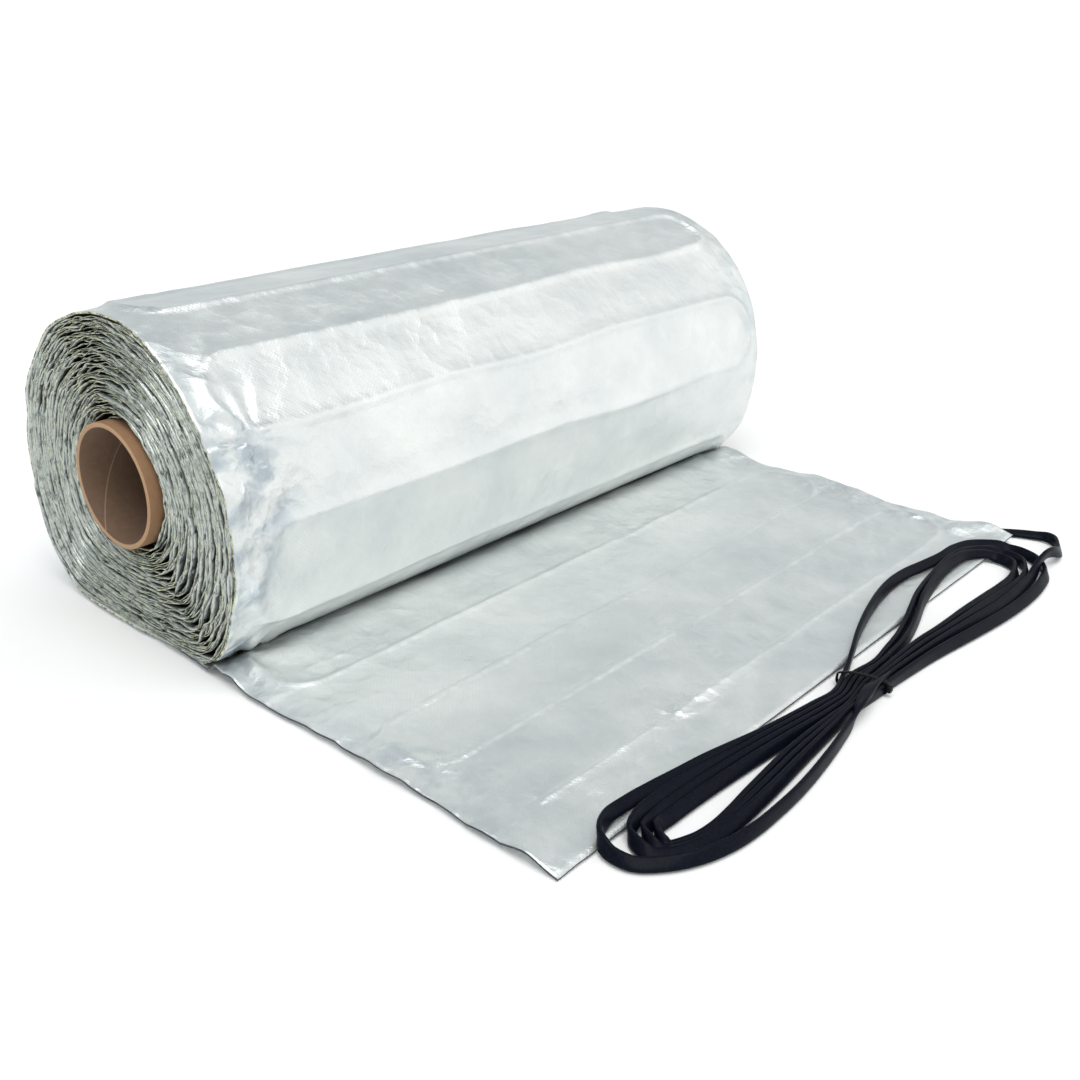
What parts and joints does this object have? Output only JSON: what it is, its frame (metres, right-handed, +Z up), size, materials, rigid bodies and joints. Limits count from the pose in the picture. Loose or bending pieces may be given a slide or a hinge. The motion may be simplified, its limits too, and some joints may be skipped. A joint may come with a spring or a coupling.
{
  "type": "foil underfloor heating mat",
  "caption": "Foil-faced electric floor heating mat on a cardboard core: a settled roll with its end laid flat and a flat cold lead tied in a hank.",
  "frame": {"origin": "on the floor under the middle of the roll's width, below the core's axis", "axes": "+X along the roll's axis away from the seen end, -Y towards the laid free end, +Z up"},
  "size_m": [0.5279, 0.4807, 0.1905],
  "materials": {
    "foil": "crinkled aluminium foil laminate, satin",
    "cardboard": "wound kraft paper board, matt",
    "lead": "black cable sheath, satin",
    "tie": "black nylon"
  },
  "bodies": {
    "root": {"heating_mat": "foil", "core_tube": "cardboard", "supply_cord": "lead", "cord_hank": "lead", "cable_tie": "tie"}
  },
  "joints": []
}
